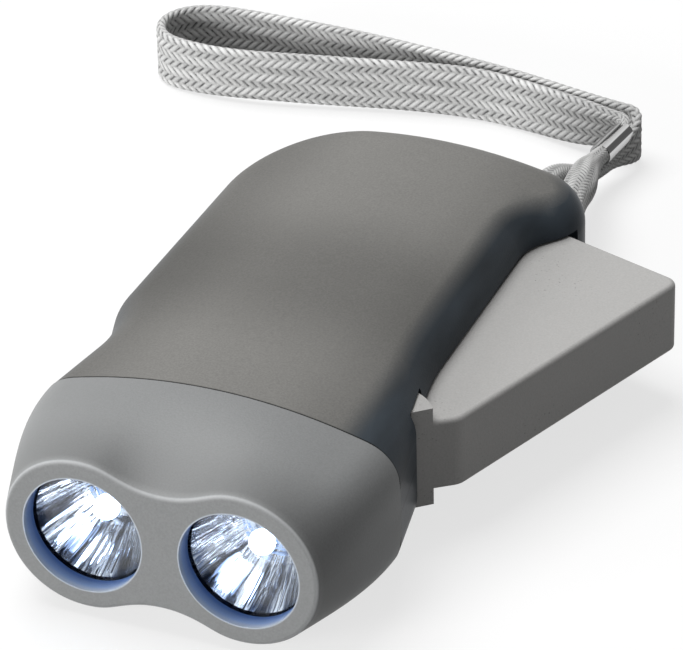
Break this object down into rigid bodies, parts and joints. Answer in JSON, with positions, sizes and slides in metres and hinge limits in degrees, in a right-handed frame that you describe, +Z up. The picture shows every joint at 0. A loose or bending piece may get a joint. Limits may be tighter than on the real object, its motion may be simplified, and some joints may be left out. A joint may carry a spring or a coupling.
{
  "type": "dynamo torch",
  "caption": "Pocket torch with paired lamps, lit by squeezing a sprung side lever that turns a geared dynamo; slide lock and braided wrist strap",
  "frame": {"origin": "middle of the flat strip along the underside, on the surface the torch lies on", "axes": "lamps look along -Y, +Z is up, the lever is on the +X side"},
  "size_m": [0.1184, 0.1638, 0.0276],
  "materials": {
    "case_paint": "satin metallic grey paint over moulded plastic",
    "head_paint": "satin lighter metallic grey paint",
    "lever_paint": "satin silver-grey paint",
    "lens_clear": "clear polished plastic",
    "reflector_chrome": "vacuum metallised, bright",
    "led_resin": "clear epoxy",
    "board_green": "solder mask",
    "pin_steel": "ground",
    "spring_steel": "drawn wire",
    "gear_nylon": "natural nylon",
    "rotor_metal": "turned",
    "magnet_dark": "sintered ferrite",
    "claw_iron": "pressed soft iron",
    "bobbin_black": "moulded",
    "coil_copper": "enamelled copper wire",
    "wire_red": "soft insulation",
    "wire_black": "soft insulation",
    "screw_steel": "zinc plated",
    "lock_dark": "moulded black",
    "ferrule_silver": "plated strip",
    "strap_weave": "flat braided cord"
  },
  "bodies": {
    "housing": {"upper_shell": "case_paint", "lower_shell": "case_paint", "head_cap": "head_paint", "lens_left": "lens_clear", "lens_right": "lens_clear", "twin_reflector": "reflector_chrome", "led_left": "led_resin", "led_right": "led_resin", "led_board": "board_green", "lever_pin": "pin_steel", "return_spring": "spring_steel", "gear_axle_1": "pin_steel", "gear_axle_2": "pin_steel", "rotor_axle": "pin_steel", "claw_plate_lower": "claw_iron", "claw_plate_upper": "claw_iron", "coil_bobbin": "bobbin_black", "coil_winding": "coil_copper", "stator_board": "board_green", "wire_red": "wire_red", "wire_black": "wire_black", "case_screws": "screw_steel", "strap_pin": "pin_steel", "strap_ferrule": "ferrule_silver", "strap_band": "strap_weave", "strap_tie": "strap_weave"},
    "lever": {"lever": "lever_paint"},
    "gear_1": {"gear_1": "gear_nylon"},
    "gear_2": {"gear_2": "gear_nylon"},
    "rotor": {"rotor": "rotor_metal", "magnet_ring": "magnet_dark"},
    "lock": {"lock_slide": "lock_dark", "lock_plate": "lock_dark"}
  },
  "joints": [
    {"name": "lever_hinge", "type": "hinge", "parent": "housing", "child": "lever", "pos_m": [0.018, -0.019, 0.01365], "axis": [0, 0, 1], "range_deg": [0, 18.1], "stiffness_Nm_per_rad": 0.6, "springref_deg": -20.05, "deforming": ["return_spring"]},
    {"name": "gear_1_spin", "type": "hinge", "parent": "housing", "child": "gear_1", "pos_m": [-0.00958, 0.00414, 0.01365], "axis": [0, 0, 1], "range_deg": [-91, 1]},
    {"name": "gear_2_spin", "type": "hinge", "parent": "housing", "child": "gear_2", "pos_m": [-0.01291, 0.02305, 0.01365], "axis": [0, 0, 1], "range_deg": [-1, 272]},
    {"name": "rotor_spin", "type": "hinge", "parent": "housing", "child": "rotor", "pos_m": [-0.01401, 0.0356, 0.01365], "axis": [0, 0, 1], "range_deg": [-680, 1]},
    {"name": "lock_travel", "type": "slide", "parent": "housing", "child": "lock", "axis": [0, 1, 0], "range_m": [0, 0.004]}
  ],
  "couplings": [
    {"joint": "gear_1_spin", "follows": "lever_hinge", "ratio": -5},
    {"joint": "gear_2_spin", "follows": "lever_hinge", "ratio": 15},
    {"joint": "rotor_spin", "follows": "lever_hinge", "ratio": -37.5}
  ]
}
